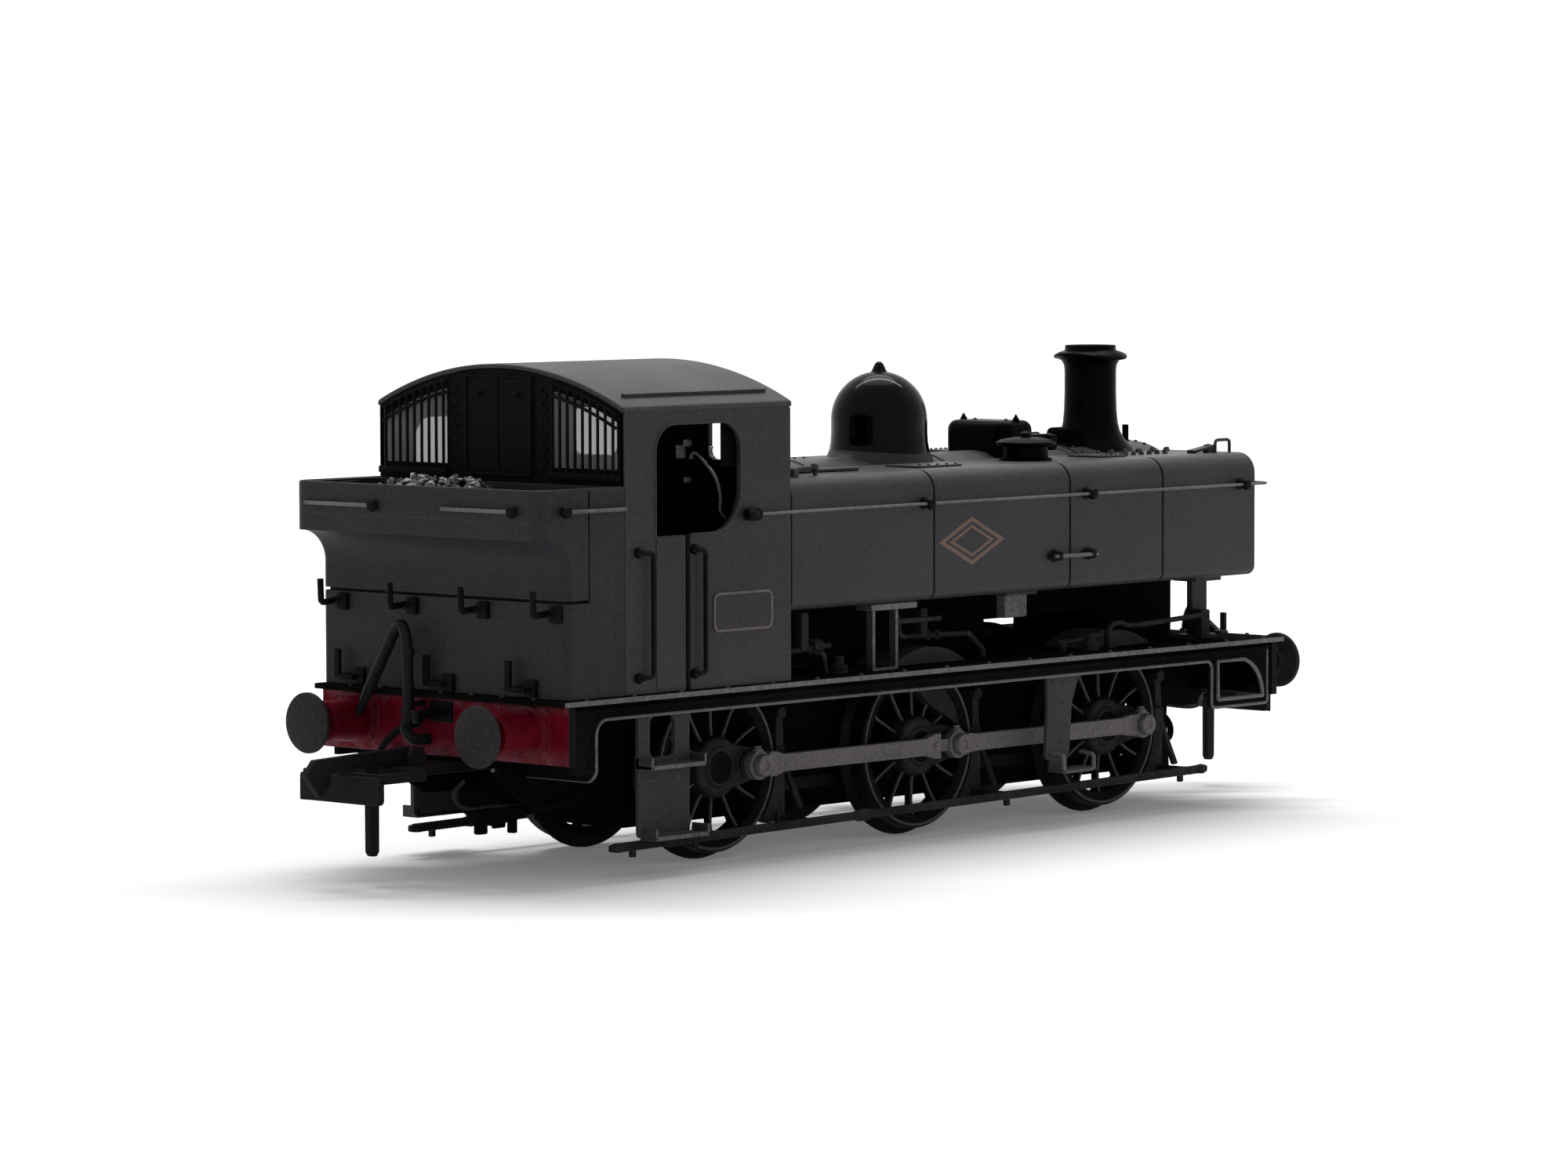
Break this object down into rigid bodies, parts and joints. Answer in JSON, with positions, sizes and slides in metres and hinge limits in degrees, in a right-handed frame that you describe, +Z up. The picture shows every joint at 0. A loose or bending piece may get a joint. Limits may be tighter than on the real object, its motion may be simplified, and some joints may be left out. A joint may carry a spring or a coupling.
{
  "type": "model steam locomotive",
  "caption": "Small-scale model tank locomotive with side tanks, open cab, spoked driving wheels joined by coupling rods, worm-driven motor, sprung buffers and hook couplings.",
  "frame": {"origin": "on the plane that the wheel flanges stand on, midway between the buffer faces and midway between the rails", "axes": "+X forward towards the chimney end, +Y to the engine's left, +Z up"},
  "size_m": [0.142, 0.0348, 0.0481],
  "materials": {
    "body_black": "weathered matt black",
    "gloss_black": "satin black",
    "fitting_black": "matt black",
    "frame_black": "matt black over cast metal",
    "beam_crimson": "weathered dark crimson",
    "coal": "coal black with pale glints",
    "rail_wire": "blackened wire",
    "steel": "turned steel",
    "wheel_metal": "dark grimy metal",
    "rod_steel": "dull dark steel",
    "brass": "bare brass",
    "buffer_steel": "dark grey metal"
  },
  "bodies": {
    "locomotive": {"running_plate": "body_black", "cab": "body_black", "cab_roof": "body_black", "bunker": "body_black", "tank_right": "body_black", "tank_left": "body_black", "boiler": "body_black", "smokebox": "body_black", "smokebox_door": "body_black", "dome": "gloss_black", "chimney": "gloss_black", "safety_valve_cover": "gloss_black", "backhead": "fitting_black", "tank_filler_right": "fitting_black", "tank_filler_left": "fitting_black", "vacuum_pipe_rear": "fitting_black", "vacuum_pipe_front": "fitting_black", "brake_gear_right": "fitting_black", "brake_gear_left": "fitting_black", "keeper_plate": "fitting_black", "chassis_block": "frame_black", "rear_buffer_beam": "beam_crimson", "front_buffer_beam": "beam_crimson", "coal_load": "coal", "handrail_right": "rail_wire", "handrail_left": "rail_wire", "motor_can": "steel", "coupling_pin_rear": "steel", "coupling_pin_front": "steel", "pickup_strip_right": "brass", "pickup_strip_left": "brass"},
    "rear_wheelset": {"axle_rear": "steel", "wheel_rear_right": "wheel_metal", "wheel_rear_left": "wheel_metal", "crank_pin_rear_right": "steel", "crank_pin_rear_left": "steel"},
    "middle_wheelset": {"axle_middle": "steel", "wheel_middle_right": "wheel_metal", "wheel_middle_left": "wheel_metal", "crank_pin_middle_right": "steel", "crank_pin_middle_left": "steel", "drive_gear": "brass"},
    "front_wheelset": {"axle_front": "steel", "wheel_front_right": "wheel_metal", "wheel_front_left": "wheel_metal", "crank_pin_front_right": "steel", "crank_pin_front_left": "steel"},
    "rod_right": {"coupling_rod_right": "rod_steel"},
    "rod_left": {"coupling_rod_left": "rod_steel"},
    "motor_rotor": {"motor_shaft": "steel", "flywheel": "brass", "worm": "brass"},
    "buffer_rear_right": {"buffer_head_rear_right": "buffer_steel"},
    "buffer_rear_left": {"buffer_head_rear_left": "buffer_steel"},
    "coupling_rear_bar": {"coupling_rear": "fitting_black"},
    "coupling_rear_hook": {"coupling_hook_rear": "fitting_black"},
    "buffer_front_right": {"buffer_head_front_right": "buffer_steel"},
    "buffer_front_left": {"buffer_head_front_left": "buffer_steel"},
    "coupling_front_bar": {"coupling_front": "fitting_black"},
    "coupling_front_hook": {"coupling_hook_front": "fitting_black"}
  },
  "joints": [
    {"name": "middle_axle_spin", "type": "hinge", "parent": "locomotive", "child": "middle_wheelset", "pos_m": [0.00305, 0, 0.009], "axis": [0, 1, 0], "continuous": true},
    {"name": "rear_axle_spin", "type": "hinge", "parent": "locomotive", "child": "rear_wheelset", "pos_m": [-0.02628, 0, 0.009], "axis": [0, 1, 0], "continuous": true},
    {"name": "front_axle_spin", "type": "hinge", "parent": "locomotive", "child": "front_wheelset", "pos_m": [0.03238, 0, 0.009], "axis": [0, 1, 0], "continuous": true},
    {"name": "rod_right_turn", "type": "hinge", "parent": "middle_wheelset", "child": "rod_right", "pos_m": [0.00725, 0, 0.009], "axis": [0, 1, 0], "continuous": true},
    {"name": "rod_left_turn", "type": "hinge", "parent": "middle_wheelset", "child": "rod_left", "pos_m": [0.00305, 0, 0.0132], "axis": [0, 1, 0], "continuous": true},
    {"name": "motor_spin", "type": "hinge", "parent": "locomotive", "child": "motor_rotor", "pos_m": [0.00305, 0, 0.0152], "axis": [1, 0, 0], "continuous": true},
    {"name": "buffer_rear_right_press", "type": "slide", "parent": "locomotive", "child": "buffer_rear_right", "axis": [1, 0, 0], "range_m": [0, 0.0012], "stiffness_N_per_m": 150, "springref_m": -0.0006},
    {"name": "buffer_rear_left_press", "type": "slide", "parent": "locomotive", "child": "buffer_rear_left", "axis": [1, 0, 0], "range_m": [0, 0.0012], "stiffness_N_per_m": 150, "springref_m": -0.0006},
    {"name": "coupling_rear_swing", "type": "hinge", "parent": "locomotive", "child": "coupling_rear_bar", "pos_m": [-0.045, 0, 0.0104], "axis": [0, 0, 1], "range_deg": [-10, 10]},
    {"name": "coupling_rear_lift", "type": "hinge", "parent": "coupling_rear_bar", "child": "coupling_rear_hook", "pos_m": [-0.0575, 0, 0.01162], "axis": [0, 1, 0], "range_deg": [0, 18]},
    {"name": "buffer_front_right_press", "type": "slide", "parent": "locomotive", "child": "buffer_front_right", "axis": [-1, 0, 0], "range_m": [0, 0.0012], "stiffness_N_per_m": 150, "springref_m": -0.0006},
    {"name": "buffer_front_left_press", "type": "slide", "parent": "locomotive", "child": "buffer_front_left", "axis": [-1, 0, 0], "range_m": [0, 0.0012], "stiffness_N_per_m": 150, "springref_m": -0.0006},
    {"name": "coupling_front_swing", "type": "hinge", "parent": "locomotive", "child": "coupling_front_bar", "pos_m": [0.045, 0, 0.0104], "axis": [0, 0, 1], "range_deg": [-10, 10]},
    {"name": "coupling_front_lift", "type": "hinge", "parent": "coupling_front_bar", "child": "coupling_front_hook", "pos_m": [0.0575, 0, 0.01162], "axis": [0, -1, 0], "range_deg": [0, 18]}
  ],
  "couplings": [
    {"joint": "rear_axle_spin", "follows": "middle_axle_spin", "ratio": 1},
    {"joint": "front_axle_spin", "follows": "middle_axle_spin", "ratio": 1},
    {"joint": "rod_right_turn", "follows": "middle_axle_spin", "ratio": -1},
    {"joint": "rod_left_turn", "follows": "middle_axle_spin", "ratio": -1},
    {"joint": "motor_spin", "follows": "middle_axle_spin", "ratio": -22}
  ]
}
